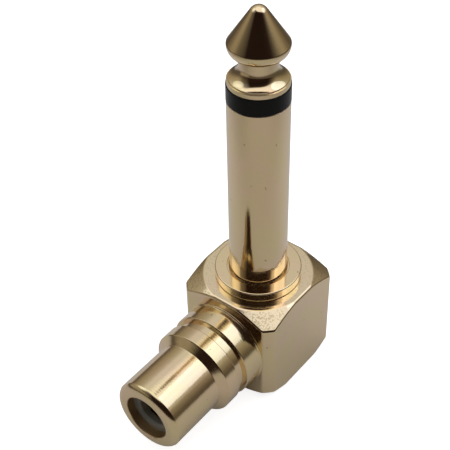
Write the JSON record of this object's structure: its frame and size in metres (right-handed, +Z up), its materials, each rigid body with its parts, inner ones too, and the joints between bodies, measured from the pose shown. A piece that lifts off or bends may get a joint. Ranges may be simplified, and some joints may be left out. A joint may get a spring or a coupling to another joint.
{
  "type": "right-angle jack to phono adapter",
  "caption": "Gold-plated elbow block joining a two-pole 6.35 mm jack plug to a phono socket set at a right angle to it.",
  "frame": {"origin": "where the plug's axis meets the block's flat base", "axes": "+Z up along the plug's axis towards its tip, -Y out of the socket's mouth, X across the block"},
  "size_m": [0.0124, 0.0256, 0.0457],
  "materials": {
    "gold_plate": "polished gold plate over turned brass",
    "black_plastic": "moulded, glossy black",
    "grey_plastic": "moulded, satin grey",
    "white_plastic": "turned, natural white",
    "bare_brass": "turned, unplated",
    "solder": "soft solder, satin"
  },
  "bodies": {
    "root": {"elbow_body": "gold_plate", "access_cap": "gold_plate", "plug_collar": "gold_plate", "plug_sleeve": "gold_plate", "tip_insulator": "black_plastic", "core_tube": "white_plastic", "rear_bush": "white_plastic", "plug_tip": "gold_plate", "tip_rod": "bare_brass", "stake_washer": "bare_brass", "socket_shell": "gold_plate", "front_insulator": "grey_plastic", "rear_insulator": "white_plastic", "socket_contact": "gold_plate", "solder_joint": "solder"}
  },
  "joints": []
}
